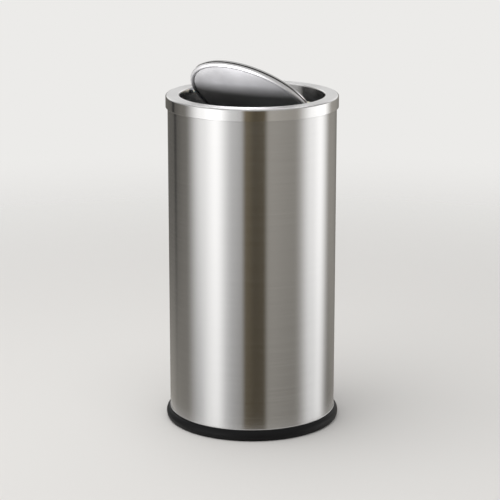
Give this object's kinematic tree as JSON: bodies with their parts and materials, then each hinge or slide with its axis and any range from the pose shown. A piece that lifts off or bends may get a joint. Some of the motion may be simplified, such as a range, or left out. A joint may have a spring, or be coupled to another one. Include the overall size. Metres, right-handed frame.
{
  "type": "flip lid trash can",
  "caption": "Round brushed steel waste bin with a polished lens-shaped lid that tumbles in a drawn head ring, a galvanised inner bucket with a bail, and a black base ring.",
  "frame": {"origin": "middle of the base ring's underside, on the floor", "axes": "+Z up; X along the lid's pivot axis; the half of the lid towards -Y is up at rest, as in the picture"},
  "size_m": [0.314, 0.314, 0.6652],
  "materials": {
    "brushed_stainless": "stainless sheet brushed round the barrel",
    "polished_stainless": "polished stainless sheet",
    "galvanised_steel": "hot-dip galvanised sheet with spangle",
    "galvanised_wire": "galvanised wire",
    "zinc_plated_steel": "bright zinc plate",
    "cast_iron": "as cast",
    "nylon": "natural moulded nylon",
    "black_base_plastic": "black moulded vinyl with a soft sheen",
    "grip_plastic": "black extruded sleeve"
  },
  "bodies": {
    "can": {"barrel": "brushed_stainless", "base_plate": "galvanised_steel", "base_ring": "black_base_plastic"},
    "head": {"head_ring": "polished_stainless", "pivot_bolts": "zinc_plated_steel", "pivot_washers": "zinc_plated_steel", "pivot_nuts": "zinc_plated_steel", "pivot_spacers": "nylon"},
    "lid": {"lid_top_dome": "polished_stainless", "lid_bottom_dish": "polished_stainless", "lid_cross_tube": "zinc_plated_steel", "lid_bushes": "nylon", "lid_tube_saddles": "zinc_plated_steel", "balance_weight": "cast_iron"},
    "liner": {"liner_wall": "galvanised_steel", "liner_base": "galvanised_steel", "liner_rim_wire": "galvanised_wire", "liner_ears": "galvanised_steel", "liner_rivets": "zinc_plated_steel"},
    "bail": {"bail_wire": "galvanised_wire", "bail_grip": "grip_plastic"}
  },
  "joints": [
    {"name": "head_lift", "type": "slide", "parent": "can", "child": "head", "axis": [0, 0, 1], "range_m": [0, 0.9]},
    {"name": "lid_flip", "type": "hinge", "parent": "head", "child": "lid", "pos_m": [0, 0, 0.588], "axis": [1, 0, 0], "continuous": true},
    {"name": "liner_lift", "type": "slide", "parent": "can", "child": "liner", "axis": [0, 0, 1], "range_m": [0, 0.6]},
    {"name": "bail_swing", "type": "hinge", "parent": "liner", "child": "bail", "pos_m": [0, 0, 0.5511], "axis": [-1, 0, 0], "range_deg": [0, 90]}
  ],
  "couplings": [
    {"joint": "liner_lift", "follows": "head_lift", "ratio": 0.6666},
    {"joint": "bail_swing", "follows": "head_lift", "rad_per_m": 1.7453}
  ]
}
